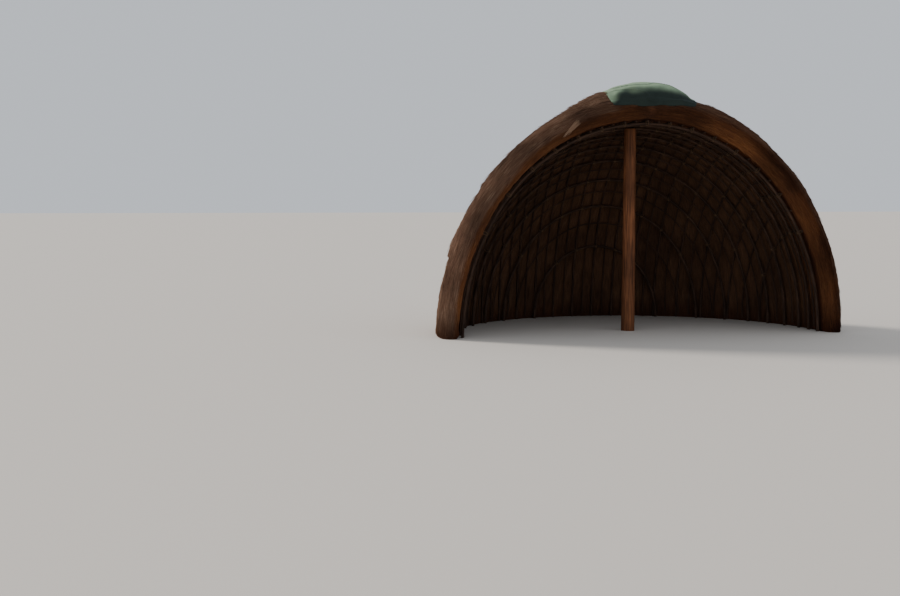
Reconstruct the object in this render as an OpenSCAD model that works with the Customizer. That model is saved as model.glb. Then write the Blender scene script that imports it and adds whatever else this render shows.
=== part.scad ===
// Open-fronted beehive hut: half a dome of thatch laid in courses over a frame of bent saplings.
// The open side faces -Y, the dome closes behind it, X runs across the opening, and Z is up.
// Lengths are millimetres. The origin is at ground level, at the middle of the hut's length and width.

/* [Dome] */
// Half the width of the thatch at the ground, measured outside
dome_half_w = 2420; // [2200:10:2700]
// Height of the thatch at the crown, measured outside
dome_h = 2770; // [2500:10:3200]
// Thickness of the thatch at the ground
thatch_foot = 205; // [150:5:260]
// Thickness of the thatch at the crown
thatch_crown = 270; // [220:5:380]
// How far the butt of each course stands proud of the course below it
course_step = 22; // [8:1:34]
// Elevation on the dome, in degrees, where the crown course starts
crown_start = 58; // [52:1:62]

/* [Rim roll] */
// How far the roll reaches in front of the dome
rim_depth = 280; // [200:5:360]
// How far the roll stands proud of the dome's thatch
rim_proud = 36; // [24:1:60]
// Squareness of the roll's section: 2 is an ellipse, more is boxier
rim_squareness = 2.7; // [2:0.1:4]

/* [Sapling frame] */
// Diameter of a hoop at its foot
hoop_dia = 40; // [30:1:56]
// Diameter of a rib at its foot
rib_dia = 30; // [24:1:44]
// Share of its foot diameter that a sapling keeps at the crown
sapling_taper = 0.8; // [0.6:0.05:1]
// Distance of the first hoop in front of the dome, under the rim roll
hoop_reach = 105; // [70:5:130]
// How far the ribs run on past the middle of the first hoop
rib_tail = 45; // [35:5:70]

/* [Front post] */
// Diameter of the post at the ground
post_dia = 166; // [130:2:200]
// Diameter of the post at its top
post_top_dia = 150; // [120:2:180]
// Distance of the post behind the front of the dome
post_y = 350; // [260:10:520]
// Distance of the post from the middle, to the right
post_x = -64; // [-120:4:120]

/* [Crown cover] */
// Reach of the cover to the left of the middle
cover_left = 520; // [400:10:640]
// Reach of the cover to the right of the middle
cover_right = 640; // [500:10:700]
// Reach of the cover behind the front of the dome
cover_back = 1040; // [800:10:1160]
// How far the cover's middle hangs down the rim roll's front, as a share of the roll's thickness
cover_hang = 0.5; // [0.3:0.01:0.7]
// Thickness of the folded cover
cover_t = 9; // [5:1:16]
// Greatest thickness of the straw pad under the cover
pad_t = 118; // [60:2:150]
// Thickness of the pad at its edge
pad_edge = 10; // [6:1:20]
// Where the pad is thickest: 1 is the middle of its length, and more is further to the right
pad_lean = 1.8; // [1:0.1:2]

/* [Hidden] */

// Fits: saplings lie this far from what they are tied to, because both surfaces are cut in short flats
tie_gap = 1.5;
// Fits: the cover and its pad lie this far from the thatch, for the same reason
drape_gap = 2;
// Fits: a seat or a sheet that follows its bearer's own flats lies this far from it
seat_gap = 0.4;

// Courses below the crown course, the flats up a course and those round a full turn of the dome
RING_COURSES = 3;
COURSE_FLATS = 6;
CROWN_FLATS = 10;
DOME_FLATS = 120;
// Sectors of a course, from the right end of the opening round the back, in degrees
SECTOR = 180 / 3;
// Bundles in the rim roll
RIM_BUNDLES = 5;
RIM_FLATS = 9;
RIM_SIDES = 15;
// Saplings: rings along a quarter of the dome, and sides of the round
QUARTER_FLATS = 24;
POLE_SIDES = 6;
POST_SIDES = 64;
GROOVE_SIDES = 48;
// Hoops behind the post, ribs on each side of the middle one, and the gap behind the last hoop in pitches
REAR_HOOPS = 6;
SIDE_RIBS = 7;
REAR_GAP = 0.62;
// Cover: columns across, rows from its hem up to the roll's top, and rows over the dome
COVER_COLUMNS = 12;
ROLL_ROWS = 9;
DOME_ROWS = 8;
COVER_ROWS = ROLL_ROWS + DOME_ROWS;
// The pad starts this many rows above the hem, ends one row and one column inside the cover, and
// comes out from under the cover's left edge by this many columns
PAD_START_ROW = 3;
PAD_OUT_COLUMNS = 5;
// The cover hangs at least this share of the roll's thickness down its front
LEAST_HANG = 0.1;

THATCH_COLOUR = "#6b5a4c";
RIM_COLOUR = "#74563f";
POLE_COLOUR = "#6a4a33";
COVER_COLOUR = "#6f8f7c";

inner_half_w = dome_half_w - thatch_foot;
inner_h = dome_h - thatch_crown;
// The dome's axis, set so that the hut's length is centred on the origin
axis_y = (rim_depth + drape_gap + cover_t - dome_half_w - course_step) / 2;
hoop_pitch = (inner_half_w - post_y) / (REAR_HOOPS + REAR_GAP);
rib_pitch = inner_half_w / (SIDE_RIBS + 1);

function unit(v) = v / norm(v);

// The outer and inner faces of the thatch in a section through the axis: [radius, height] at elevation t
function outer(t) = [dome_half_w * cos(t), dome_h * sin(t)];
function inner(t) = [inner_half_w * cos(t), inner_h * sin(t)];
// The direction straight through the thatch there
function across(t) = unit(outer(t) - inner(t));

// Elevation where course i starts. Course RING_COURSES is the crown course.
function course_start(i) = i > RING_COURSES ? 90 : crown_start * i / RING_COURSES;

// A course thins from its proud butt at the bottom to the plain outer face at its top
function course_profile(i) =
    let (low = course_start(i),
         high = course_start(i + 1),
         n = i == RING_COURSES ? CROWN_FLATS : COURSE_FLATS)
    concat(
        [for (k = [0:n]) let (s = k / n, t = low + (high - low) * s)
            k == n && high == 90 ? [0, dome_h] : outer(t) + across(t) * course_step * (1 - s)],
        [for (k = [n:-1:0]) let (t = low + (high - low) * k / n)
            k == n && high == 90 ? [0, inner_h] : inner(t)]
    );

module course(i, from, to) {
    color(THATCH_COLOUR)
        translate([0, axis_y, 0])
            rotate([0, 0, from])
                rotate_extrude(angle = to - from, $fn = DOME_FLATS)
                    polygon(course_profile(i));
}

// A solid through a row of rings that all have the same number of points, skinned with triangles.
// In a sheet the second half of each ring lies over the first, both faces break along the same corners,
// and the ends are strips between the two halves.
module loft(rings, sheet = false) {
    n = len(rings);
    m = len(rings[0]);
    end = sheet ? [for (j = [0:m / 2 - 2]) [j, j + 1, m - 2 - j, m - 1 - j]] : [[for (j = [0:m - 1]) j]];
    translate([0, axis_y, 0])
        polyhedron(
            points = [for (ring = rings) each ring],
            faces = concat(
                end,
                [for (face = end) [for (k = [len(face) - 1:-1:0]) (n - 1) * m + face[k]]],
                [for (i = [0:n - 2]) for (j = [0:m - 1])
                    let (a = i * m + j, b = a + m, d = i * m + (j + 1) % m, c = d + m)
                    each sheet && j >= m / 2 ? [[a, b, d], [b, c, d]] : [[a, b, c], [a, c, d]]]
            )
        );
}

// How far the roll stands proud at elevation t: least at its feet
function proud(t) = rim_proud * (1 + sin(t)) / 2;
// The roll's thickness at elevation t
function rim_t(t) = norm(outer(t) - inner(t)) + proud(t);
function signed_pow(v, e) = sign(v) * pow(abs(v), e);

// A point on the roll's skin: t runs from the right foot over the crown to the left one, and turn
// from -90 at the inner back edge through 0 at the front to 90 at the outer back edge
function rim_point(t, turn, lift = 0) =
    let (half_t = rim_t(t) / 2,
         depth = half_t + (half_t + lift) * signed_pow(sin(turn), 2 / rim_squareness),
         p = inner(t) + across(t) * depth)
    [p[0], -(rim_depth + lift) * signed_pow(cos(turn), 2 / rim_squareness), p[1]];

function rim_ring(t) = [for (k = [0:RIM_SIDES - 1]) rim_point(t, -90 + 180 * k / (RIM_SIDES - 1))];

// One bundle of the roll, counted from the right foot
module rim_bundle(i) {
    step = 180 / RIM_BUNDLES;
    color(RIM_COLOUR)
        loft([for (k = [0:RIM_FLATS]) rim_ring(step * (i + k / RIM_FLATS))]);
}

// The outward normal of the thatch's inner face at a point on it. In front of y = 0 the face runs straight.
function inner_normal(p) =
    unit([p[0] / pow(inner_half_w, 2), max(p[1], 0) / pow(inner_half_w, 2), p[2] / pow(inner_h, 2)]);

// A sapling's radius at elevation t
function sapling_r(dia, t) = dia / 2 * (sapling_taper + (1 - sapling_taper) * pow(cos(t), 2));

// Ring of points round the line's point c, with one side towards the thatch
function pole_ring(c, along, out, r) =
    let (a = unit(along), n = unit(out - (out * a) * a), u = cross(a, n))
    [for (k = [0:POLE_SIDES - 1]) c + r * (cos(360 * k / POLE_SIDES) * n + sin(360 * k / POLE_SIDES) * u)];

// Ribs run from the ground at the back over the dome to the rim roll, against the thatch, at a set x
function rib_face(x, t) =
    let (k = sqrt(1 - pow(x / inner_half_w, 2)))
    t > 90
        ? [x, -(hoop_reach + rib_tail) * (t - 90), inner_h * k]
        : [x, inner_half_w * k * cos(t), inner_h * k * sin(t)];
function rib_r(t) = sapling_r(rib_dia, min(t, 90));
function rib_line(x, t) = rib_face(x, t) - inner_normal(rib_face(x, t)) * (rib_r(t) + tie_gap);

module rib(x) {
    color(POLE_COLOUR)
        loft([for (k = [0:QUARTER_FLATS + 1]) let (t = k > QUARTER_FLATS ? 91 : 90 * k / QUARTER_FLATS)
            pole_ring(rib_line(x, t), t >= 90 ? [0, -1, 0] : rib_line(x, t + 1) - rib_line(x, t - 1),
                inner_normal(rib_face(x, t)), rib_r(t))]);
}

// Hoops cross the dome from left to right under the ribs, at a set distance y behind its front
function hoop_face(y, t) =
    let (k = sqrt(1 - pow(max(y, 0) / inner_half_w, 2)))
    [inner_half_w * k * cos(t), y, inner_h * k * sin(t)];
function hoop_r(t) = sapling_r(hoop_dia, t);
// The elevation that a point on the inner face has along the rib that passes it
function rib_rise(p) = p[1] <= 0 ? 90 : acos(min(p[1] / sqrt(pow(inner_half_w, 2) - pow(p[0], 2)), 1));
// In front of the dome the ribs run straight, so the hoop there can lie closer to them
function hoop_gap(y) = y < 0 ? seat_gap : tie_gap;
function hoop_line(y, t) =
    let (p = hoop_face(y, t))
    p - inner_normal(p) * (tie_gap + 2 * rib_r(rib_rise(p)) + hoop_gap(y) + hoop_r(t));

module hoop(y) {
    color(POLE_COLOUR)
        loft([for (k = [0:2 * QUARTER_FLATS]) let (t = 90 * k / QUARTER_FLATS)
            pole_ring(hoop_line(y, t), hoop_line(y, t + 1) - hoop_line(y, t - 1),
                inner_normal(hoop_face(y, t)), hoop_r(t))]);
}

// The hoop that the post carries: where it passes over the post, and its slope there
post_t = acos(post_x / sqrt(pow(inner_half_w, 2) - pow(post_y, 2)));
post_seat = hoop_line(post_y, post_t);
post_run = hoop_line(post_y, post_t - 1) - hoop_line(post_y, post_t + 1);
post_slope = atan2(post_run[2], post_run[0]);
// The hoop bends down a little on both sides, so the groove that it lies in is as low as the hoop is
// at the post's edge
post_h = post_seat[2] - pow(post_dia / 2, 2) / 2 * inner_h / pow(inner_half_w, 2);

groove_r = hoop_r(90) + seat_gap;

module front_post() {
    color(POLE_COLOUR)
        translate([post_seat[0], axis_y + post_seat[1], 0])
            difference() {
                cylinder(h = post_h, d1 = post_dia, d2 = post_top_dia, $fn = POST_SIDES);
                translate([0, 0, post_h])
                    rotate([0, 90 - post_slope, 0])
                        cylinder(h = 2 * post_dia, r = groove_r, center = true, $fn = GROOVE_SIDES);
            }
}

// How far the crown course stands above the plain outer face at elevation t
function crown_lift(t) = course_step * (90 - t) / (90 - crown_start);

// A point above the thatch of the dome
function dome_point(x, y, lift) =
    let (r = max(norm([x, y]), 0.001),
         t = acos(r / dome_half_w),
         p = outer(t) + across(t) * (crown_lift(t) + lift))
    [p[0] * x / r, p[0] * y / r, p[1]];

// Columns of the cover run from its left edge to its right one
function cover_x(i) = (cover_left + cover_right) * i / COVER_COLUMNS - cover_left;
function column_t(i) = acos(cover_x(i) / dome_half_w);
// The hem hangs level, at the height that it has in the middle. The pad's columns to the left of the
// cover go on from its left edge.
function roll_top(t) = rim_point(t, 90)[2];
hem_z = roll_top(90) - cover_hang * rim_t(90);
function hang(i) =
    let (t = column_t(max(i, 0)))
    max((roll_top(t) - hem_z) / rim_t(t), LEAST_HANG);
function hem_turn(i) = asin(signed_pow(1 - 2 * hang(i), rim_squareness / 2));
// Row j of the cover runs from its hem in front of the roll, over the roll's top and back over the dome
function cover_turn(i, j) = hem_turn(i) + (90 - hem_turn(i)) * j / ROLL_ROWS;

// To the left of the cover the rows reach back less and less, so that the pad's end is rounded
function row_y(i, j) =
    cover_back * (j - ROLL_ROWS) / DOME_ROWS * sqrt(1 - pow(min(i, 0) / (PAD_OUT_COLUMNS + 1), 2));

// A point at lift from the thatch, and then raised straight up
function above_thatch(i, j, lift, raised = 0) =
    [0, 0, raised] + (j <= ROLL_ROWS
        ? rim_point(column_t(i), cover_turn(i, j), drape_gap + lift)
        : dome_point(cover_x(i), row_y(i, j), drape_gap + lift));

// The pad's thickness: it swells from its front to its back, and from its left end, which lies in the
// open, to its right end under the cover
function on_pad(i, j) =
    i >= -PAD_OUT_COLUMNS && i < COVER_COLUMNS && j >= PAD_START_ROW && j < COVER_ROWS;
function pad_h(i, j) =
    let (back = (j - PAD_START_ROW) / (COVER_ROWS - 1 - PAD_START_ROW),
         right = (i + PAD_OUT_COLUMNS) / (COVER_COLUMNS - 1 + PAD_OUT_COLUMNS),
         swell = sin(180 * back) * sin(180 * pow(right, pad_lean)))
    on_pad(i, j) ? pad_edge + (pad_t - pad_edge) * sqrt(max(swell, 0)) : 0;

module crown_pad() {
    color(THATCH_COLOUR)
        loft([for (i = [-PAD_OUT_COLUMNS:COVER_COLUMNS - 1]) concat(
            [for (j = [PAD_START_ROW:COVER_ROWS - 1]) above_thatch(i, j, 0)],
            [for (j = [COVER_ROWS - 1:-1:PAD_START_ROW]) above_thatch(i, j, 0, pad_h(i, j))])], sheet = true);
}

// The cover lies on the pad, and on the thatch round the pad
function cover_gap(i, j) = on_pad(i, j) ? seat_gap : 0;

module crown_cover() {
    color(COVER_COLOUR)
        loft([for (i = [0:COVER_COLUMNS]) concat(
            [for (j = [0:COVER_ROWS]) above_thatch(i, j, cover_gap(i, j), pad_h(i, j))],
            [for (j = [COVER_ROWS:-1:0]) above_thatch(i, j, cover_gap(i, j) + cover_t, pad_h(i, j))])],
            sheet = true);
}

course(0, 0, SECTOR);  // thatch_bottom_right
course(0, SECTOR, 2 * SECTOR);  // thatch_bottom_back
course(0, 2 * SECTOR, 180);  // thatch_bottom_left
course(1, 0, SECTOR);  // thatch_middle_right
course(1, SECTOR, 2 * SECTOR);  // thatch_middle_back
course(1, 2 * SECTOR, 180);  // thatch_middle_left
course(2, 0, SECTOR);  // thatch_upper_right
course(2, SECTOR, 2 * SECTOR);  // thatch_upper_back
course(2, 2 * SECTOR, 180);  // thatch_upper_left
course(RING_COURSES, 0, 180);  // thatch_crown
rim_bundle(0);  // rim_right_foot
rim_bundle(1);  // rim_right_shoulder
rim_bundle(2);  // rim_crown
rim_bundle(3);  // rim_left_shoulder
rim_bundle(4);  // rim_left_foot
hoop(-hoop_reach);  // hoop_front
hoop((post_y - hoop_reach) / 2);  // hoop_before_post
hoop(post_y);  // hoop_over_post
hoop(post_y + hoop_pitch);  // hoop_3
hoop(post_y + 2 * hoop_pitch);  // hoop_4
hoop(post_y + 3 * hoop_pitch);  // hoop_5
hoop(post_y + 4 * hoop_pitch);  // hoop_6
hoop(post_y + 5 * hoop_pitch);  // hoop_7
hoop(post_y + 6 * hoop_pitch);  // hoop_8
rib(0);  // rib_centre
rib(-rib_pitch);  // rib_left_1
rib(-2 * rib_pitch);  // rib_left_2
rib(-3 * rib_pitch);  // rib_left_3
rib(-4 * rib_pitch);  // rib_left_4
rib(-5 * rib_pitch);  // rib_left_5
rib(-6 * rib_pitch);  // rib_left_6
rib(-7 * rib_pitch);  // rib_left_7
rib(rib_pitch);  // rib_right_1
rib(2 * rib_pitch);  // rib_right_2
rib(3 * rib_pitch);  // rib_right_3
rib(4 * rib_pitch);  // rib_right_4
rib(5 * rib_pitch);  // rib_right_5
rib(6 * rib_pitch);  // rib_right_6
rib(7 * rib_pitch);  // rib_right_7
front_post();
crown_pad();
crown_cover();
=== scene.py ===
import math
from collections import namedtuple

import bpy
import numpy as np
from bpy.props import FloatProperty, FloatVectorProperty, IntProperty, PointerProperty
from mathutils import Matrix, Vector


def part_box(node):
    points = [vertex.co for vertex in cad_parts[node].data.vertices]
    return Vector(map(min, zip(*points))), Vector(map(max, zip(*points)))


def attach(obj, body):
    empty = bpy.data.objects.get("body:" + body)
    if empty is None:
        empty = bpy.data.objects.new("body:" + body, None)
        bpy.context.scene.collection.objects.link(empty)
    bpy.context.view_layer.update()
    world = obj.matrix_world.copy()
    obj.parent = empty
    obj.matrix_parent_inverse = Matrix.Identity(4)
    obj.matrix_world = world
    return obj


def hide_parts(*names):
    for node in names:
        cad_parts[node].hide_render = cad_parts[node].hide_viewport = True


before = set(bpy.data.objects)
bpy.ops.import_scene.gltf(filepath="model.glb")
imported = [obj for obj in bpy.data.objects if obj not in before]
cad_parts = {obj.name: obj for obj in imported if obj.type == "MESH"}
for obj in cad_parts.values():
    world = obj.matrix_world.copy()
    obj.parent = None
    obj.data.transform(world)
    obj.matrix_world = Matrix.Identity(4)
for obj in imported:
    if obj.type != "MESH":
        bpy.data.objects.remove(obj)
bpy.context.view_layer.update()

bl_info = {
    "name": "Thatched beehive hut",
    "version": (1, 0, 0),
    "blender": (4, 5, 0),
    "location": "3D View > Sidebar > Hut",
    "description": "Dresses the hut's solids with thatch, saplings, lashings and a draped cover",
    "category": "Object",
}

QUARTER = math.pi / 2
TAU = 2 * math.pi


# Sizes, colours and amounts that a user would change

def hex_colour(text):
    """An sRGB hex colour as linear red, green and blue, by the sRGB curve."""
    c = np.array([int(text[i:i + 2], 16) for i in (1, 3, 5)]) / 255
    return tuple(float(v) for v in np.where(c <= 0.04045, c / 12.92, ((c + 0.055) / 1.055) ** 2.4))


def metres(name, description, default):
    """A property for a length."""
    return FloatProperty(name=name, description=description, default=default, unit="LENGTH", precision=4)


def number(name, description, default, kind=FloatProperty):
    """A property for a plain number or a count."""
    return kind(name=name, description=description, default=default, min=0, subtype="UNSIGNED")


def tint(name, description, default):
    """A property for a colour, from its sRGB hex value."""
    return FloatVectorProperty(name=name, description=description, default=hex_colour(default),
                               subtype="COLOR", size=3, min=0, max=1)


class HutSizes(bpy.types.PropertyGroup):
    """The sizes of the solids, as the part's source has them"""
    half_w: metres("Half width", "Half the width of the thatch at the ground, outside", 2.42)
    height: metres("Height", "Height of the thatch at the crown, outside", 2.77)
    foot: metres("Foot", "Thickness of the thatch at the ground", 0.205)
    crown: metres("Crown", "Thickness of the thatch at the crown", 0.27)
    step: metres("Course step", "How far each butt stands proud", 0.022)
    crown_start: FloatProperty(name="Crown start", description="Elevation where the crown course starts",
                               default=math.radians(58), subtype="ANGLE")
    rim_depth: metres("Rim depth", "Reach of the rim roll in front of the dome", 0.28)
    rim_proud: metres("Rim proud", "How far the roll stands above the dome's thatch", 0.036)
    rim_square: number("Rim squareness", "2 is an ellipse", 2.7)
    hoop: metres("Hoop", "Diameter of a hoop at its foot", 0.04)
    rib: metres("Rib", "Diameter of a rib at its foot", 0.03)
    taper: number("Taper", "Share of the foot's diameter at the crown", 0.8)
    hoop_reach: metres("First hoop", "Distance of the first hoop in front of the dome", 0.105)
    rib_tail: metres("Rib tail", "How far the ribs run on past the first hoop", 0.045)
    post_back: metres("Post", "Distance of the post behind the dome's front", 0.35)
    post_side: metres("Post side", "Distance of the post from the middle, to the right", -0.064)
    post: metres("Post foot", "Diameter of the post at the ground", 0.166)
    post_top: metres("Post head", "Diameter of the post at its top", 0.15)
    cover_left: metres("Cover left", "Reach of the cover to the left", 0.52)
    cover_right: metres("Cover right", "Reach of the cover to the right", 0.64)
    cover_back: metres("Cover back", "Reach of the cover behind the dome's front", 1.04)
    pad: metres("Pad", "Greatest thickness of the straw pad under the cover", 0.118)
    pad_lean: number("Pad lean", "1 puts the pad's thickest part in its middle", 1.8)
    lath: metres("Lath", "Diameter of the laths between the saplings", 0.02)


class HutColours(bpy.types.PropertyGroup):
    """The hut's colours, each finish from its darkest to its palest"""
    weathered_dark: tint("Weathered, dark", "Old stems in the gaps of the dome", "#4b372c")
    weathered: tint("Weathered", "Stems that the weather has greyed", "#8e6c57")
    weathered_pale: tint("Weathered, pale", "Stems that the sun has bleached", "#bb9c82")
    # On the rim roll's inner half, the russet colours are painted warm light bounced from the ground.
    russet_dark: tint("Russet, dark", "Sheltered stems in the gaps of the rim", "#42271a")
    russet: tint("Russet", "Sheltered stems on the inner half of the rim", "#7a4b2c")
    russet_pale: tint("Russet, pale", "The freshest stems on the rim", "#9c6a40")
    smoked_dark: tint("Smoked, dark", "Sooty stems inside", "#3b281d")
    smoked: tint("Smoked", "Stems inside", "#60432f")
    smoked_pale: tint("Smoked, pale", "Stems inside near the rim", "#7c5a40")
    bark_dark: tint("Bark, dark", "Furrows of the saplings' bark", "#271b15")
    bark: tint("Bark", "The saplings' bark where hands have rubbed it", "#573f31")
    log_dark: tint("Log, dark", "Checks of the post", "#4f2f1d")
    log: tint("Log", "The post's dry face", "#915b39")
    rope_dark: tint("Rope, dark", "Between the strands", "#3c2c1e")
    rope: tint("Rope", "Grass rope, smoked", "#705840")
    # The dark sheet colour is painted shade for the front of the sheet; the pale one is the sheet's own
    # colour where it lies in the light.
    sheet_shade: tint("Sheet", "The sheet where its dye has held", "#26312d")
    sheet: tint("Sheet, faded", "The sheet where the sun has faded it", "#8fa688")
    floor: tint("Floor", "The plain floor", "#cfc8c0")


class HutLook(bpy.types.PropertyGroup):
    """How much straw there is, and how strong the lights are"""
    dome_straws: number("Dome straws", "Straws on the outside of the dome", 30000, IntProperty)
    rim_straws: number("Rim straws", "Straws on the rim roll", 20000, IntProperty)
    inner_straws: number("Inner straws", "Straws inside", 11000, IntProperty)
    key: number("Key light", "Strength of the key light", 3.2)
    fill: number("Fill light", "Strength of the surroundings", 0.75)


def sizes():
    """The hut's sizes, as the scene holds them."""
    return bpy.context.scene.hut_sizes


# Vectors and noise

def unit(v):
    """Vectors divided by their lengths."""
    return v / np.maximum(np.linalg.norm(v, axis=-1, keepdims=True), 1e-9)


def vec(*parts):
    """Vectors from their parts, each a number or an array."""
    return np.stack(np.broadcast_arrays(*parts), axis=-1).astype(float)


def smooth(v, low, high):
    """0 below low, 1 above high and 3f^2 - 2f^3 between them."""
    f = np.clip((v - low) / (high - low), 0, 1)
    return f * f * (3 - 2 * f)


def signed_pow(v, e):
    """The size of v to the power e, with the sign of v."""
    return np.sign(v) * np.abs(v) ** e


LATTICE_SIDE = 32
LATTICE = np.random.default_rng(11).random((LATTICE_SIDE, LATTICE_SIDE, LATTICE_SIDE))


def noise(*place):
    """Value noise from -1 to 1 at points, given as one array or by their three coordinates: random heights
    at whole numbers, blended by 3f^2 - 2f^3 between them."""
    p = place[0] if len(place) == 1 else vec(*place)
    cell = np.floor(p).astype(int)
    f = p - cell
    f = f * f * (3 - 2 * f)
    total = 0
    for corner in np.ndindex(2, 2, 2):
        weight = 1
        for axis, d in enumerate(corner):
            weight = weight * (f[..., axis] if d else 1 - f[..., axis])
        x, y, z = [(cell[..., axis] + d) % LATTICE_SIDE for axis, d in enumerate(corner)]
        total = total + weight * LATTICE[x, y, z]
    return 2 * total - 1


# The surfaces of the dome and of the rim roll

# Courses of thatch below the crown
RING_COURSES = 3
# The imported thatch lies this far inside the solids' faces, and the loose stems fill the rest.
SINK = 0.007
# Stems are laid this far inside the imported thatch's face, so that it covers their roots.
ROOTED = 0.001
# Height of the middle of the dome, from which its faces point away
MIDDLE_Z = 0.8
# Mean radius of the roll's section, and the lift that takes its face to its middle
ROLL_R = 0.2
ROLL_MIDDLE = -0.14


def axis_y():
    """The dome's axis in the shared frame, from the box of the rearmost solid."""
    s = sizes()
    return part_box("thatch_bottom_back")[1][1] - (s.half_w + s.step)


def mean_radius():
    """Half the sum of the dome's half width and height."""
    return (sizes().half_w + sizes().height) / 2


def slope_length(t):
    """Distance up the outer face from the ground to elevation t, by the mean radius of the ellipse."""
    return t * mean_radius()


def inner_size():
    """Half width and height of the thatch's inner face."""
    s = sizes()
    return s.half_w - s.foot, s.height - s.crown


def faces(t):
    """[radius, height] of the outer and the inner face at elevation t: half width cos t, height sin t."""
    s = sizes()
    w, h = inner_size()
    return vec(s.half_w * np.cos(t), s.height * np.sin(t)), vec(w * np.cos(t), h * np.sin(t))


def section(t, lift, inside=False):
    """A face's [radius, height] at elevation t, moved by lift straight through the thatch."""
    outer, inner = faces(t)
    return (inner if inside else outer) + unit(outer - inner) * np.asarray(lift)[..., None]


def dome(a, t, lift, inside=False):
    """The dome in space: the section turned by a about the dome's axis, 0 at the opening's right end."""
    p = section(t, lift, inside)
    return vec(p[..., 0] * np.cos(a), p[..., 0] * np.sin(a) + axis_y(), p[..., 1])


def course_start(i):
    """Elevation of a course's lower edge; they are evenly spaced up to the crown course."""
    return QUARTER if i > RING_COURSES else sizes().crown_start * i / RING_COURSES


def proud(t):
    """How far the roll stands above the dome's thatch: rim_proud (1 + sin t) / 2."""
    return sizes().rim_proud * (1 + np.sin(t)) / 2


def rim(t, turn, lift=0.0):
    """The rim roll: across its section a superellipse, turn -90 at the inner back edge and 90 at the outer
    one, carried along the arch from the right foot (t = 0) to the left one (t = 180 degrees)."""
    s = sizes()
    outer, inner = faces(t)
    half = (np.linalg.norm(outer - inner, axis=-1) + proud(t)) / 2
    depth = half + (half + lift) * signed_pow(np.sin(turn), 2 / s.rim_square)
    p = inner + unit(outer - inner) * depth[..., None]
    y = -(s.rim_depth + lift) * signed_pow(np.cos(turn), 2 / s.rim_square)
    return vec(p[..., 0], y + axis_y(), p[..., 1])


def surface_frame(at, a, b, inwards=False, step=0.002):
    """Point, directions of growing a and b, and outward normal of a surface at(a, b), by small steps."""
    p = at(a, b)
    da = unit(at(a + step, b) - at(a - step, b))
    db = unit(at(a, b + step) - at(a, b - step))
    normal = unit(np.cross(da, db))
    away = ((normal * (p - np.array([0, axis_y(), MIDDLE_Z]))).sum() > 0) != inwards
    return p, da, db, normal if away else -normal


def roll_frame(t, turn, lift_at):
    """Point, direction along the arch and normal of the roll raised by lift_at; the normal points away from
    the middle of its section."""
    p, along, _, normal = surface_frame(lambda x, y: rim(x, y, lift_at(x, y)), t, turn)
    outwards = p - rim(t, 0.0, ROLL_MIDDLE)
    return p, along, normal * np.sign((normal * outwards).sum(-1, keepdims=True))


# Meshes

def new_mesh(name, points, corners):
    """A mesh of these points, with a face for each list of corners."""
    mesh = bpy.data.meshes.new(name)
    mesh.from_pydata(points, [], corners)
    return mesh


def grid_faces(n, m, ring=True, closed=False):
    """Corners of the faces of a grid of n rows of m points. ring joins the last point of each row to its
    first, and closed the last row to the first."""
    i, j = np.meshgrid(np.arange(n if closed else n - 1), np.arange(m if ring else m - 1), indexing="ij")
    next_row = (i + 1) % n * m
    next_column = (j + 1) % m
    corners = [i * m + j, next_row + j, next_row + next_column, i * m + next_column]
    return np.stack(corners, axis=-1).reshape(-1, 4)


def end_faces(n, m):
    """One face for the first row of a grid of n rows of m points, and one for the last."""
    return [list(range(m)), list(range(n * m - 1, (n - 1) * m - 1, -1))]


def grid_mesh(name, p, uv=None, ring=True):
    """A grid of points, rows along a path and columns round it, as a mesh. ring closes each row on itself,
    and the first and last row with one face each. Faces are turned outwards by the sign of the volume."""
    n, m = p.shape[:2]
    quads = grid_faces(n, m, ring)
    ends = end_faces(n, m) if ring else []
    flat = p.reshape(-1, 3)
    q = flat[quads]
    areas = np.cross(q[:, 1], q[:, 2]) + np.cross(q[:, 2], q[:, 3])
    turned = ring and np.einsum("ij,ij->i", q[:, 0], areas).sum() < 0
    if turned:
        quads = quads[:, ::-1]
        ends = [end[::-1] for end in ends]
    mesh = new_mesh(name, flat, quads.tolist() + ends)
    if uv is not None:
        corners = uv.reshape(-1, 2)[grid_faces(n, uv.shape[1], ring=False)]
        corners = corners[:, ::-1] if turned else corners
        on_ends = np.zeros((sum(len(end) for end in ends), 2))
        layer = mesh.uv_layers.new(name="straw")
        layer.data.foreach_set("uv", np.concatenate([corners.reshape(-1, 2), on_ends]).ravel().astype("f4"))
    return mesh


def add_values(mesh, **values):
    """One number for each point of the mesh, which its material reads by name."""
    for name, value in values.items():
        layer = mesh.attributes.new(name, "FLOAT", "POINT")
        layer.data.foreach_set("value", np.ascontiguousarray(value, dtype="f4").ravel())


def tube(path, radius, up, sides):
    """Rings of a tube: path + r (cos a n + sin a b), with n as up made square to the path, and b square to
    both."""
    along = unit(np.gradient(path, axis=0))
    n = unit(up - (up * along).sum(-1, keepdims=True) * along)
    b = np.cross(along, n)
    a = np.arange(sides) * TAU / sides
    spokes = np.cos(a)[None, :, None] * n[:, None] + np.sin(a)[None, :, None] * b[:, None]
    return path[:, None] + np.broadcast_to(radius, len(path))[:, None, None] * spokes


def joined(name, grids, closed=False):
    """Many tubes as one mesh; closed joins each tube's last ring to its first."""
    points, corners, base = [], [], 0
    for grid in grids:
        n, m = grid.shape[:2]
        corners += (base + grid_faces(n, m, closed=closed)[:, ::-1]).tolist()
        if not closed:
            corners += [[base + corner for corner in end] for end in end_faces(n, m)]
        points.append(grid.reshape(-1, 3))
        base += n * m
    return new_mesh(name, np.concatenate(points), corners)


# A stem's three sides, where its middle ring lies, how high its tip is raised as a share of its lift, and
# the girth of its root and of a blunt tip as a share of its middle's
STEM_SIDES = np.radians([90, 210, 330])
STEM_MIDDLE = 0.55
TIP_RAISED = 1.3
ROOT_GIRTH = 0.8
TIP_GIRTH = 0.85


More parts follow.
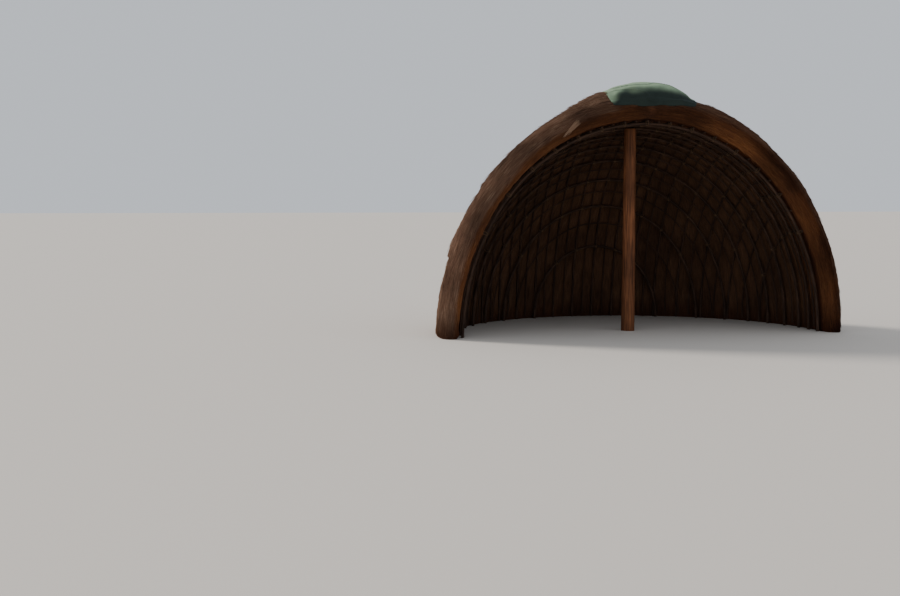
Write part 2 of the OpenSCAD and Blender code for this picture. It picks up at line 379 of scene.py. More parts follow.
def curve_at(p):
    """The curvature of the thatch along its stems: one over the dome's mean radius, pointing away from the
    middle of the dome, or of the arch for the roll in front of it."""
    away = p - np.array([0, axis_y(), 0])
    away[:, 1] = np.maximum(away[:, 1], 0)
    return unit(away) / mean_radius()


def straw_mesh(name, root, along, up, length, thick, lift, values, blunt):
    """Straws as three-sided stems. At distance d a stem lies at root + d along - d^2 / 2 curve, so that it
    follows the thatch under it. A blunt straw ends in a ring, and the others have a middle ring and a point.
    values holds a number for each straw under each name."""
    side = np.cross(along, up)
    cos, sin = np.cos(STEM_SIDES)[None, :, None], np.sin(STEM_SIDES)[None, :, None]
    spoke = (cos * side[:, None] + sin * up[:, None]) * thick[:, None, None]
    curve = curve_at(root)
    first = root[:, None] + ROOT_GIRTH * spoke
    middle, tip = [
        (root + along * d[:, None] - curve * (d ** 2 / 2)[:, None] + up * (raised * lift)[:, None])[:, None]
        for d, raised in ((STEM_MIDDLE * length, 1.0), (length, TIP_RAISED))]
    root_face = [(0, 1, 2)]
    walls = [(0, 3, 4), (0, 4, 1), (1, 4, 5), (1, 5, 2), (2, 5, 3), (2, 3, 0)]
    if blunt:
        points = np.concatenate([first, tip + spoke * TIP_GIRTH], axis=1)
        pattern = root_face + [(5, 4, 3)] + walls
        reach = [0, 0, 0, 1, 1, 1]
    else:
        points = np.concatenate([first, middle + spoke, tip], axis=1)
        pattern = root_face + walls + [(3, 6, 4), (4, 6, 5), (5, 6, 3)]
        reach = [0, 0, 0, STEM_MIDDLE, STEM_MIDDLE, STEM_MIDDLE, 1]
    per = points.shape[1]
    corners = (np.arange(len(root))[:, None, None] * per + np.array(pattern)[None]).reshape(-1, 3)
    flat = points.reshape(-1, 3)
    sample = flat[corners[:len(pattern)]]
    edges = sample - sample[0, 0]
    if np.einsum("ij,ij->i", edges[:, 0], np.cross(edges[:, 1], edges[:, 2])).sum() < 0:
        corners = corners[:, ::-1]
    mesh = new_mesh(name, flat, corners.tolist())
    add_values(mesh, reach=np.tile(reach, len(root)), **{k: np.repeat(v, per) for k, v in values.items()})
    return mesh


# Materials

# A Mix node's settings and output, when it blends two colours and when it multiplies them. Its inputs 0, 6
# and 7 are the share of the second colour, the first one and the second one.
BLEND = {"out": 2, "data_type": "RGBA"}
MULTIPLY = {"blend_type": "MULTIPLY", **BLEND}
# What soot and painted shade, and splashed earth, take from a colour, and how high the splashes reach
SOOT_AND_SHADE = (0.34, 0.27, 0.24, 1.0)
SPLASH = (0.50, 0.36, 0.27, 1.0)
SPLASH_HEIGHT = 0.25
# The sheet's threads are too fine to show, so its weave is drawn as waves 25 mm apart: a wave texture has
# one in each TAU / 20 of its scaled coordinate.
WEAVE_SCALE = 12.5


def colour(tone):
    """Four linear values: from the name of a colour of the hut, from a grey's number, or as they are."""
    if isinstance(tone, str):
        return tuple(getattr(bpy.context.scene.hut_colours, tone)) + (1.0,)
    return (tone, tone, tone, 1.0) if isinstance(tone, float) else tone


def feed(tree, node, inputs):
    """Gives each of a node's inputs its value or its link."""
    for key, value in dict(inputs).items():
        if isinstance(value, bpy.types.NodeSocket):
            tree.links.new(value, node.inputs[key])
        else:
            node.inputs[key].default_value = value


def add(tree, kind, inputs=(), stops=(), out=0, **settings):
    """Adds a shader node with its settings, its inputs and, for a ramp, its colours by position. It gives
    one of the node's outputs."""
    node = tree.nodes.new("ShaderNode" + kind)
    for key, value in settings.items():
        setattr(node, key, value)
    feed(tree, node, inputs)
    for element in range(len(stops) - 2):
        node.color_ramp.elements.new(0.5)
    for element, (position, tone) in enumerate(stops):
        node.color_ramp.elements[element].position = position
        node.color_ramp.elements[element].color = colour(tone)
    return node.outputs[out]


def shaded(tree, drawn, by, stops):
    """A colour times those that stops gives for a value."""
    return add(tree, "Mix", {0: 1.0, 6: drawn, 7: add(tree, "ValToRGB", {0: by}, stops)}, **MULTIPLY)


def cells(tree, coordinate, size, detail):
    """Noise from 0 to 1 in cells of the given size along each axis, in metres."""
    at = add(tree, "TexCoord", out=coordinate)
    scaled = add(tree, "Mapping", {"Scale": tuple(1 / part for part in size), "Vector": at})
    return add(tree, "TexNoise", {"Scale": 1.0, "Detail": detail, "Vector": scaled})


def coat(name, roughness, draw):
    """A dry material of plant fibre, earth or cloth. draw(tree) gives its colour, and the height, strength
    and depth of its relief, or None where it has none."""
    made = bpy.data.materials.new(name)
    made.use_nodes = True
    tree = made.node_tree
    drawn, relief = draw(tree)
    inputs = {"Base Color": drawn, "Roughness": roughness, "IOR": 1.45, "Specular IOR Level": 0.25}
    if relief:
        height, strength, depth = relief
        inputs["Normal"] = add(tree, "Bump", {"Strength": strength, "Distance": depth, "Height": height})
    feed(tree, tree.nodes["Principled BSDF"], inputs)
    return made


def stems(tree, tone, open_air, sheltered):
    """The colour of stems by their tone, from open_air to sheltered, by their shelter inside the dome, and
    on the rim roll by painted warm light bounced from the ground. It is darkened by patches of weather half
    a metre wide, by soot and painted shade, and by splashed earth near the ground."""
    both = [add(tree, "ValToRGB", {0: tone}, [(0.0, f"{name}_dark"), (0.55, name), (1.0, f"{name}_pale")])
            for name in (open_air, sheltered)]
    shelter, soot_and_shade = [add(tree, "Attribute", out="Fac", attribute_name=name) for name in ("shelter", "soot_and_shade")]
    result = add(tree, "Mix", {0: shelter, 6: both[0], 7: both[1]}, **BLEND)
    weather = cells(tree, "Object", (0.5, 0.5, 0.5), 3.0)
    result = shaded(tree, result, weather, [(0.34, 0.6), (0.62, 1.0)])
    # Soot inside the dome, and painted shade on the rim roll, darken the colour together.
    soot_and_shade_tone = add(tree, "Mix", {0: 1.0, 6: result, 7: SOOT_AND_SHADE}, **MULTIPLY)
    result = add(tree, "Mix", {0: soot_and_shade, 6: result, 7: soot_and_shade_tone}, **BLEND)
    height = add(tree, "SeparateXYZ", {0: add(tree, "TexCoord", out="Object")}, out="Z")
    return shaded(tree, result, height, [(0.0, SPLASH), (SPLASH_HEIGHT, 1.0)])


def straw_material(name, open_air, sheltered):
    """Dry grass stems: matt, each stem its own tone, with painted shade at its root, where the stems above
    cover it, so that each shows.
    """
    def draw(tree):
        tone, reach = [add(tree, "Attribute", out="Fac", attribute_name=name) for name in ("tone", "reach")]
        result = stems(tree, tone, open_air, sheltered)
        # Painted shade: a stem darkens towards its covered root.
        return shaded(tree, result, reach, [(0.0, 0.6), (0.35, 1.0)]), None
    return coat(name, 0.9, draw)


def packed_material(name, open_air, sheltered):
    """Packed thatch behind the loose stems, as noise in cells 180 mm long and 6 mm wide, to show."""
    def draw(tree):
        grain = cells(tree, "UV", (0.006, 0.18, 1.0), 3.0)
        span = {"Value": grain, "From Min": 0.25, "From Max": 0.8, "To Min": 0.0, "To Max": 0.85}
        return stems(tree, add(tree, "MapRange", span), open_air, sheltered), (grain, 0.8, 0.006)
    return coat(name, 0.95, draw)


def wood_material(name, roughness, size, coordinate, wood, depth):
    """Wood with its grain drawn out along the stem, in cells of the given size and relief of the given
    depth, and patches a third of a metre wide that hands have rubbed paler."""
    def draw(tree):
        grain = cells(tree, coordinate, size, 4.0)
        result = add(tree, "ValToRGB", {0: grain}, [(0.32, f"{wood}_dark"), (0.68, wood)])
        rubbed = cells(tree, "Object", (1 / 3, 1 / 3, 1 / 3), 2.0)
        return shaded(tree, result, rubbed, [(0.35, 0.6), (0.65, 1.0)]), (grain, 0.5, depth)
    return coat(name, roughness, draw)


def rope_material(name):
    """Grass rope: strands that show as light and dark specks 8 mm wide."""
    def draw(tree):
        twist = cells(tree, "Object", (1 / 120, 1 / 120, 1 / 120), 2.0)
        return add(tree, "ValToRGB", {0: twist}, [(0.3, "rope_dark"), (0.7, "rope")]), None
    return coat(name, 0.9, draw)


def sheet_material(name):
    """A woven sheet: its weave as bump, with painted shade down its front, which hangs away from the key
    light, and its own pale colour on the lit top, with dusty blotches 0.11 m wide.
    """
    def draw(tree):
        wave = {"Scale": WEAVE_SCALE, "Vector": add(tree, "TexCoord", out="UV")}
        threads = [add(tree, "TexWave", wave, out="Fac", bands_direction=way) for way in ("X", "Y")]
        weave = add(tree, "Math", {0: threads[0], 1: threads[1]}, operation="ADD")
        faded = add(tree, "Attribute", out="Fac", attribute_name="faded")
        ends = {0: faded, 6: colour("sheet_shade"), 7: colour("sheet")}
        dust = cells(tree, "Object", (1 / 9, 1 / 9, 1 / 9), 5.0)
        blotches = [(0.3, 0.72), (0.55, 0.95), (0.75, (1.0, 0.97, 0.9, 1.0))]
        return shaded(tree, add(tree, "Mix", ends, **BLEND), dust, blotches), (weave, 0.3, 0.001)
    return coat(name, 0.8, draw)


# Each look's slot, the function that makes its material, and what that needs
LOOKS = {
    # Grass that weather has greyed on the outside and smoke has browned inside
    "dome_straw": ("dome_thatch", straw_material, "weathered_grass_stems", "weathered", "smoked"),
    "dome_packed": ("dome_thatch", packed_material, "weathered_packed_thatch", "weathered", "smoked"),
    # Grass that is grey on the outer half of the roll, and orange-brown on its inner half with painted warm
    # light bounced from the ground
    "rim_straw": ("rim_thatch", straw_material, "rim_grass_stems", "weathered", "russet"),
    "rim_packed": ("rim_thatch", packed_material, "rim_packed_thatch", "weathered", "russet"),
    # Grass inside: orange-brown at the opening, sooty behind it
    "inner_straw": ("dome_thatch", straw_material, "smoked_grass_stems", "russet", "smoked"),
    # Bent saplings with their bark on: dull brown, with its grain drawn 12 mm wide and 150 mm long, to show
    "bark": ("sapling", wood_material, "dry_sapling_bark", 0.8, (0.012, 0.15, 1.0), "UV", "bark", 0.002),
    # A peeled log: warm brown, with its fibres drawn 10 mm wide and 250 mm long, to show
    "log": ("post_timber", wood_material, "peeled_dry_log", 0.7, (0.01, 0.01, 0.25), "Object", "log", 0.003),
    # Rope twisted from grass: dull, with strands that show as specks
    "rope": ("sapling", rope_material, "twisted_grass_rope"),
    # A plain woven sheet, pale sage, with painted shade where its front hangs away from the key light
    "sheet": ("cover_cloth", sheet_material, "faded_woven_sheet"),
}
MATERIALS = {}


def new_object(name, data):
    """A new object with this data, linked into the scene."""
    made = bpy.data.objects.new(name, data)
    bpy.context.scene.collection.objects.link(made)
    return made


def finish_piece(mesh, look, nodes=(), soft=True):
    """Puts the mesh into the scene as a piece on the hut's one body, in its look's material. soft shades it
    round up to 50 degrees."""
    if soft:
        mesh.shade_smooth()
        mesh.set_sharp_from_angle(angle=math.radians(50))
    slot, maker, *needs = LOOKS[look]
    if look not in MATERIALS:
        MATERIALS[look] = maker(*needs)
    mesh.materials.append(MATERIALS[look])
    piece = new_object(mesh.name, mesh)
    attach(piece, "root")
    if nodes:
        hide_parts(*nodes)
    return piece


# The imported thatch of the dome

OUT_ROWS = 30
INNER_ROWS = 8
AROUND = 240
# How far the top of a course tucks under the next one
TUCK = 0.03
# The UV map takes lengths round the dome at this share of its radius.
UV_RADIUS = 0.75
# The height in the UV map where the inner face starts, clear of the outer one
UV_INNER = 9.0


def thatch_relief(a, t, course):
    """How far the dome's thatch rises and falls: broad swells, and clumps 60 mm wide and 300 mm long. Each
    course has its own part of the noise."""
    around = a * sizes().half_w * np.cos(t)
    up = slope_length(t)
    seed = 3.0 * course
    swells = 0.005 * noise(around / 0.7, up / 0.6, seed)
    return swells + 0.004 * noise(around / 0.06, up / 0.3, seed + 7.3) - SINK


def ragged(a, course):
    """How far a course's lower edge wanders round the dome, as elevation: waves 0.5 m and 0.12 m long."""
    around = a * sizes().half_w
    return 0.006 * noise(around / 0.5, course, 1.0) + 0.0035 * noise(around / 0.12, course, 2.0)


def course_mesh(name, i):
    """A course is its profile turned about the dome's axis. The profile runs up the outer face, thinning
    from its proud butt to nothing, tucks under the next course, and comes back down the inner face."""
    s = sizes()
    low, high = course_start(i), course_start(i + 1)
    k = np.linspace(0, 1, OUT_ROWS)
    t_out = low + (high - low) * k
    t_in = np.linspace(high, low, INNER_ROWS)
    a = np.linspace(0, math.pi, AROUND)[:, None]
    lift = s.step * (1 - k) + thatch_relief(a, t_out, i)
    if i < RING_COURSES:
        lift[:, -1] -= TUCK
    if i > 0:
        t_out = t_out + (1 - k) ** 4 * ragged(a, i)
    p = np.concatenate([dome(a, t_out, lift), dome(a, t_in, 0.0, inside=True)], axis=1)
    rise = slope_length(low + (high - low) * k)
    v = np.concatenate([rise, slope_length(t_in) + UV_INNER, [slope_length(low)]])
    mesh = grid_mesh(name, p, vec(a * s.half_w * UV_RADIUS, v))
    add_values(mesh, shelter=np.tile(np.repeat([0.0, 1.0], [OUT_ROWS, INNER_ROWS]), AROUND))
    return mesh


class HUT_OT_thatch(bpy.types.Operator):
    """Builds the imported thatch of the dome, course by course"""
    bl_idname = "hut.thatch"
    bl_label = "Dome thatch"

    def execute(self, context):
        for i, name in enumerate(("bottom", "middle", "upper", "crown")):
            sides = ["_left", "_back", "_right"] if i < RING_COURSES else [""]
            nodes = [f"thatch_{name}{side}" for side in sides]
            finish_piece(course_mesh(f"packed_{name}_course", i), "dome_packed", nodes)
        return {"FINISHED"}


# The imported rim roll

RIM_ROWS = 320
RIM_ROUND = 30
# The roll's flat back has one column of points for every seven of its front.
BACK_EVERY = 7


def rim_relief(t, turn):
    """Straw runs along the roll, so its clumps are 50 mm wide and 400 mm long, over broad lumps. The relief
    dies out towards the roll's back edges, which lie against the dome."""
    along = slope_length(t)
    across = turn * ROLL_R
    broad = 0.006 * noise(along / 0.45, across / 0.2, 5.0)
    lumps = broad + 0.004 * noise(along / 0.4, across / 0.05, 9.0) - SINK
    return lumps * np.maximum(np.cos(turn), 0) ** 0.3


def rim_values(t, turn):
    """Which colours the roll's stems take, as two shares. The inner half takes the russet colours, painted
    warm light bounced from the ground, which reaches less far in on the left side than on the right one.
    What lies behind the first hoop is sooty. On the right side the front of the outer half is as dark,
    partly damp and partly painted shade of the side that faces away from the key light. The roll above the
    post is darkened by painted shade under the cover."""
    # Painted light: the inner half of the roll takes the russet colours, as warm light bounced from the
    # ground, less far in on the left side.
    edge = np.radians(4 + 17 * np.cos(t)) + 0.14 * noise(t * 14, turn * 2, 3.0)
    patchy = turn + 0.3 * noise(t * 9, turn * 2, 8.0)
    # Painted shade, partly damp: the front of the outer half on the right side.
    damp_and_shade = 0.92 * (smooth(patchy, -0.4, 0.25) - smooth(patchy, 0.7, 1.4)) * smooth(np.cos(t), -0.1, 0.4)
    # Painted shade under the cover, above the post.
    from_post = np.abs(np.cos(t) + 0.08) - 0.05 * noise(t * 9, turn * 2, 4.0)
    shade_under_cover = 0.6 * smooth(0.36 - from_post, -0.08, 0.12)
    soot_and_shade = np.maximum(np.maximum(smooth(-turn, 1.05, 1.28), damp_and_shade), shade_under_cover)
    return {"shelter": smooth(edge - turn, -0.16, 0.2), "soot_and_shade": soot_and_shade}


class HUT_OT_rim(bpy.types.Operator):
    """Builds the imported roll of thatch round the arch"""
    bl_idname = "hut.rim"
    bl_label = "Rim roll"

    def execute(self, context):
        t = np.linspace(0, math.pi, RIM_ROWS)[:, None]
        turn = np.linspace(-QUARTER, QUARTER, RIM_ROUND)
        front = rim(t, turn, rim_relief(t, turn))
        front[[0, -1], :, 2] = 0
        back = front[:, ::-1][:, 1:-1:BACK_EVERY] * np.array([1, 0, 1]) + np.array([0, axis_y(), 0])
        around = np.concatenate([turn * ROLL_R, np.linspace(0.35, 0.6, back.shape[1] + 1)])
        p = np.concatenate([front, back], axis=1)
        mesh = grid_mesh("packed_rim_roll", p, vec(around, slope_length(t)))
        plain = np.zeros(back.shape[:2])
        values = rim_values(t, turn)
        add_values(mesh, **{k: np.concatenate([v, plain], axis=1) for k, v in values.items()})
        nodes = ["rim_left_foot", "rim_left_shoulder", "rim_crown", "rim_right_shoulder", "rim_right_foot"]
        finish_piece(mesh, "rim_packed", nodes)
        return {"FINISHED"}


# The loose stems

# No stem comes nearer to the ground than this.
GROUND = 0.004
# The share of unruly stems, and how much further they turn and rise than the others
UNRULY = 0.12
UNRULY_FACTOR = 2.5
# A stem that has less room than this is left out.
SHORTEST = 0.03
# Random elevations are arc sines of numbers up to this one, so that none lies at the pole.
NEAR_POLE = 0.9995
# The dome's stems are made as this many pieces.
DOME_PARTS = 3
# How many cut ends a course would have in half a turn at the ground
BUTTS_ROUND = 3200
# The loose hank on the roll runs from the first to the second elevation and turn.
HANK_STRAWS = 130
HANK_T = np.radians((111.6, 116.4))
HANK_TURN = np.radians((1, -17))

# Each kind of straw: the least and greatest length, radius and lift of the tip in metres, the spread of its
# direction as an angle, the mean and spread of its tone, and its look
Straw = namedtuple("Straw", "length thick lift spread tones look")
STRAWS = {
    "dome": Straw((0.12, 0.26), (0.0016, 0.0032), (0.001, 0.005), 0.055, (0.5, 0.18), "dome_straw"),
    "butt": Straw((0.2, 0.3), (0.002, 0.0036), (0.0, 0.003), 0.05, (0.45, 0.2), "dome_straw"),
    "rim": Straw((0.16, 0.32), (0.0016, 0.0032), (0.001, 0.006), 0.06, (0.5, 0.16), "rim_straw"),
    "hank": Straw((0.10, 0.18), (0.002, 0.0034), (0.003, 0.012), 0.06, (0.95, 0.08), "rim_straw"),
    "inner": Straw((0.16, 0.32), (0.0014, 0.0028), (0.001, 0.004), 0.06, (0.5, 0.13), "inner_straw"),
    "pad": Straw((0.14, 0.30), (0.0018, 0.0036), (0.001, 0.008), 0.10, (0.52, 0.16), "dome_straw"),
}


def lay_straws(name, kind, p, down, normal, rng, values=(), most=None, blunt=False):
    """Lays straws along down, turned by their kind's spread and raised at the tip by its lift; the UNRULY
    share of them is turned and raised further, and is shorter. Each straw's tone is its kind's, plus patches
    0.1 m and 0.4 m wide. A straw that would reach the ground is cut there, and one longer than most is cut
    to it."""
    n = len(p)
    straw = STRAWS[kind]
    side = np.cross(down, normal)
    wild = np.where(rng.random(n) < UNRULY, UNRULY_FACTOR, 1.0)
    swing = (rng.normal(0, straw.spread, n) * wild)[:, None]
    along = unit(down * np.cos(swing) + side * np.sin(swing))
    thick = rng.uniform(*straw.thick, n)
    room = (p[:, 2] - GROUND - thick) / np.maximum(-along[:, 2], 0.05)
    length = np.minimum(rng.uniform(*straw.length, n) / wild ** 0.7, room)
    if most is not None:
        length = np.minimum(length, most)
    tone = rng.normal(*straw.tones, n) + 0.14 * noise(p / 0.1) + 0.15 * noise(p / 0.4 + 5)
    keep = length > SHORTEST
    data = {"tone": np.clip(tone, 0, 1), **dict(values)}
    lift = rng.uniform(*straw.lift, n) * wild
    mesh = straw_mesh(name, p[keep], along[keep], normal[keep], length[keep], thick[keep], lift[keep],
                      {k: v[keep] for k, v in data.items()}, blunt)
    finish_piece(mesh, straw.look, soft=False)


def under_cover(p, inset=0.04):
    """Whether points lie on the thatch that the cover hides."""
    s = sizes()
    across = (p[..., 0] > inset - s.cover_left) & (p[..., 0] < s.cover_right - inset)
    return across & (p[..., 1] - axis_y() < s.cover_back - inset) & (p[..., 2] > HEM_Z + inset)


class HUT_OT_dome_straws(bpy.types.Operator):
    """Lays weathered stems down the outside of the dome"""
    bl_idname = "hut.dome_straws"
    bl_label = "Dome straws"

    def execute(self, context):
        s = sizes()
        rng = np.random.default_rng(21)
        count = context.scene.hut_look.dome_straws
        a = rng.uniform(0, math.pi, count)
        t = np.maximum(np.arcsin(rng.uniform(0, NEAR_POLE, count)), 0.06 / s.height)
        starts = np.array([course_start(i) for i in range(RING_COURSES + 2)])
        for part in range(DOME_PARTS):
            pick = (a >= part * math.pi / DOME_PARTS) & (a < (part + 1) * math.pi / DOME_PARTS)
            aa, tt = a[pick], t[pick]
            course = np.minimum((tt / s.crown_start * RING_COURSES).astype(int), RING_COURSES)
            k = (tt - starts[course]) / (starts[course + 1] - starts[course])

            def face(x, y):
                return dome(x, y, s.step * (1 - k) + thatch_relief(x, y, course) - ROOTED)

            p, _, up, normal = surface_frame(face, aa, tt)
            to_butt = slope_length(tt) - slope_length(starts[course]) + rng.uniform(-0.01, 0.02, len(tt))
            seen = ~under_cover(p)
            name = f"dome_straws_{part + 1}"
            lay_straws(name, "dome", p[seen], -up[seen], normal[seen], rng, most=to_butt[seen])
        return {"FINISHED"}


class HUT_OT_butts(bpy.types.Operator):
    """Sets the cut ends of the stems along the lower edge of each course"""
    bl_idname = "hut.butts"
    bl_label = "Course butts"

    def execute(self, context):
        rng = np.random.default_rng(22)
        starts = np.array([course_start(i) for i in range(1, RING_COURSES + 1)])
        t = np.repeat(starts, (BUTTS_ROUND * np.cos(starts)).astype(int))
        a = rng.uniform(0.01, math.pi - 0.01, len(t))
        above = rng.uniform(0.05, 0.09, len(t))
        course = np.searchsorted(starts, t, side="right").astype(float)
        t = t + above / mean_radius() + ragged(a, course)
        depth = rng.uniform(-0.8, 0.9, len(t)) * sizes().step - SINK / 2
        p, _, up, normal = surface_frame(lambda x, y: dome(x, y, depth), a, t)
        most = above + rng.uniform(-0.012, 0.016, len(t))
        lay_straws("course_butts", "butt", p, -up, normal, rng, most=most, blunt=True)
        return {"FINISHED"}


class HUT_OT_rim_straws(bpy.types.Operator):
    """Lays stems along the rim roll: weathered on its outer half, and russet on its inner half, as painted
    warm light bounced from the ground
    """
    bl_idname = "hut.rim_straws"
    bl_label = "Rim straws"

    def execute(self, context):
        rng = np.random.default_rng(23)
        count = context.scene.hut_look.rim_straws
        t = rng.uniform(0.015, math.pi - 0.015, count)
        turn = rng.uniform(-QUARTER, QUARTER, count)
        for side, pick, way in (("right", t < QUARTER, -1), ("left", t >= QUARTER, 1)):
            tt, uu = t[pick], turn[pick]
            p, along, normal = roll_frame(tt, uu, lambda x, y: rim_relief(x, y) - ROOTED)
            seen = ~(under_cover(p, 0.03) & (uu > -0.1))
            values = {k: v[seen] for k, v in rim_values(tt, uu).items()}
            lay_straws(f"rim_straws_{side}", "rim", p[seen], way * along[seen], normal[seen], rng, values)
        return {"FINISHED"}


class HUT_OT_hank(bpy.types.Operator):
    """Lays the pale hank of straw that has come loose on the left of the roll"""
    bl_idname = "hut.hank"
    bl_label = "Loose hank"

    def execute(self, context):
        rng = np.random.default_rng(26)
        count = HANK_STRAWS
        share = rng.uniform(0, 0.45, count)
        t = HANK_T[0] + (HANK_T[1] - HANK_T[0]) * share + rng.normal(0, 0.004, count)
        turn = HANK_TURN[0] + (HANK_TURN[1] - HANK_TURN[0]) * share + rng.normal(0, 0.05, count)
        lift = rng.uniform(0.002, 0.014, count)
        p, _, normal = roll_frame(t, turn, lambda x, y: lift)
        end = rim(HANK_T[1], HANK_TURN[1], lift)
        values = {"shelter": np.full(count, 0.25), "soot_and_shade": np.zeros(count)}
        lay_straws("loose_hank", "hank", p, unit(end - p), normal, rng, values)
        return {"FINISHED"}


class HUT_OT_inner_straws(bpy.types.Operator):
    """Lays smoked stems on the inside of the thatch, where they show between the laths"""
    bl_idname = "hut.inner_straws"
    bl_label = "Inner straws"

    def execute(self, context):
        rng = np.random.default_rng(24)
        count = context.scene.hut_look.inner_straws
        a = rng.uniform(0.01, math.pi - 0.01, count)
        t = np.maximum(np.arcsin(rng.uniform(0, NEAR_POLE, count)), 0.02)
        p, _, up, normal = surface_frame(lambda x, y: dome(x, y, ROOTED, inside=True), a, t, inwards=True)
        shelter = smooth(p[:, 1] - axis_y() + 0.06 * noise(p / 0.2), -0.05, 0.45)
        lay_straws("inner_straws", "inner", p, -up, normal, rng, {"shelter": shelter})
        return {"FINISHED"}


# The frame of hoops, ribs and laths

# Hoops behind the post's, with the room behind the last one as a share of their pitch, and ribs to each side
# of the middle one
REAR_HOOPS = 6
REAR_GAP = 0.62
SIDE_RIBS = 7
# Room between saplings that are tied, and between those that touch
TIE_GAP = 0.0015
SEAT_GAP = 0.0004
HOOP_STEPS = 110
RIB_STEPS = 60
SAPLING_SIDES = 8
# Width that each side of a sapling has in its UV map
BARK_WIDTH = 0.015
LATH_PITCH = 0.135
LATH_SIDES = 5
LATH_STEPS = 72
SHORT_LATH_STEPS = 44
# The elevation where laths start, and how far they wander to each side
LATH_START = 0.02
LATH_WANDER = 0.012


def inner_normal(p):
    """Outward normal of the thatch's inner face, an ellipsoid that runs straight on in front of the dome."""
    w, h = inner_size()
    return unit(vec(p[..., 0] / w ** 2, np.maximum(p[..., 1] - axis_y(), 0) / w ** 2, p[..., 2] / h ** 2))


def hoop_face(y, t):
    """Where the plane at y behind the front cuts the inner face, at elevation t from the right foot."""
    w, h = inner_size()
    k = np.sqrt(1 - (max(y, 0) / w) ** 2)
    return vec(w * k * np.cos(t), y + axis_y(), h * k * np.sin(t))


def rib_face(x, t):
    """Where the plane at x cuts the inner face, at elevation t from the back."""
    w, h = inner_size()
    k = np.sqrt(1 - (x / w) ** 2)
    return vec(x, w * k * np.cos(t) + axis_y(), h * k * np.sin(t))


def sapling_r(diameter, t):
    """A sapling's radius at elevation t: half its diameter at the foot, taper times that at the crown."""
    return diameter / 2 * (sizes().taper + (1 - sizes().taper) * np.cos(t) ** 2)


def rib_radius_at(p):
    """The radius that a rib has where it passes the point p of the inner face."""
    w, _ = inner_size()
    y = np.maximum(p[..., 1] - axis_y(), 0)
    rise = np.arccos(np.clip(y / np.sqrt(np.maximum(w ** 2 - p[..., 0] ** 2, 1e-6)), 0, 1))
    return sapling_r(sizes().rib, rise)


def hang(p, depth):
    """Points of the inner face moved into the room by depth."""
    return p - inner_normal(p) * np.asarray(depth)[..., None]


def hoop_path(y, t):
    """A hoop's middle line: it hangs under the ribs, seated on their straight ends or tied with a gap."""
    p = hoop_face(y, t)
    gap = TIE_GAP + (SEAT_GAP if y < 0 else TIE_GAP)
    return hang(p, 2 * rib_radius_at(p) + gap + sapling_r(sizes().hoop, t))


def rib_path(x, t):
    """A rib's middle line: it hangs under the thatch by its radius and a gap."""
    return hang(rib_face(x, t), sapling_r(sizes().rib, t) + TIE_GAP)


def with_tail(path):
    """A rib's path with its straight end under the rim roll."""
    reach = sizes().hoop_reach + sizes().rib_tail
    return np.concatenate([path, path[-1] + np.array([[0, -reach / 2, 0], [0, -reach, 0]])])


def hoop_places():
    """How far each hoop lies behind the front of the dome, from the first one to the rearmost."""
    s = sizes()
    pitch = (inner_size()[0] - s.post_back) / (REAR_HOOPS + REAR_GAP)
    before = [-s.hoop_reach, (s.post_back - s.hoop_reach) / 2]
    return before + [s.post_back + pitch * k for k in range(REAR_HOOPS + 1)]


def rib_places():
    """How far each rib lies to the right of the middle, evenly spaced from left to right."""
    return [inner_size()[0] / (SIDE_RIBS + 1) * k for k in range(-SIDE_RIBS, SIDE_RIBS + 1)]


def sapling_piece(node, path, radius):
    """A bent sapling round its path, with the swellings of its cut side shoots about half a metre apart and
    up to 12% of its radius high. Its ends on the ground are cut level."""
    name = f"bent_{node}"
    shoots = noise(np.linspace(0, len(radius) / 9, len(radius)), float(len(name)), 0.5)
    knobbly = radius * (1 + 0.12 * np.maximum(shoots, 0) ** 2 - 0.03)
    rings = tube(path, knobbly, inner_normal(path), SAPLING_SIDES)
    rings[0, :, 2] = 0
    if path[-1, 2] < 0.05:
        rings[-1, :, 2] = 0
    length = np.concatenate([[0], np.cumsum(np.linalg.norm(np.diff(path, axis=0), axis=1))])
    girth = np.arange(SAPLING_SIDES + 1) * BARK_WIDTH
    finish_piece(grid_mesh(name, rings, vec(girth, length[:, None])), "bark", [node])


class HUT_OT_saplings(bpy.types.Operator):
    """Bends the hoops and the ribs as knobbly saplings along the dome's inner face"""
    bl_idname = "hut.saplings"
    bl_label = "Saplings"

    def execute(self, context):
        s = sizes()
        t = np.linspace(0, math.pi, HOOP_STEPS)
        names = ["hoop_front", "hoop_before_post", "hoop_over_post"]
        names += [f"hoop_{k + 3}" for k in range(REAR_HOOPS)]
        for node, y in zip(names, hoop_places()):
            sapling_piece(node, hoop_path(y, t), sapling_r(s.hoop, t))
        t = np.linspace(0, QUARTER, RIB_STEPS)
        radius = np.append(sapling_r(s.rib, t), [s.rib / 2 * s.taper] * 2)
        for k, x in enumerate(rib_places(), -SIDE_RIBS):
            node = "rib_centre" if k == 0 else f"rib_{'left' if k < 0 else 'right'}_{abs(k)}"
            sapling_piece(node, with_tail(rib_path(x, t)), radius)
        return {"FINISHED"}


def between(places, low, high):
    """Places for laths about LATH_PITCH apart that leave out those of the saplings."""
    edges = [low] + sorted(places) + [high]
    made = []
    for a, b in zip(edges[:-1], edges[1:]):
        n = max(round((b - a) / LATH_PITCH), 1)
        made += [a + (b - a) * k / n for k in range(1, n)]
    return made


def lath_rings(p, side, rng):
    """The rings of a lath along points p of the inner face: it hangs under the ribs where side is 1, and
    beside them, with a straight end like theirs, where it is -1."""
    r = sizes().lath / 2 * rng.uniform(0.8, 1.15)
    path = hang(p, 2 * rib_radius_at(p) + TIE_GAP + side * r)
    path = with_tail(path) if side < 0 else path
    return tube(path, r, inner_normal(path), LATH_SIDES)


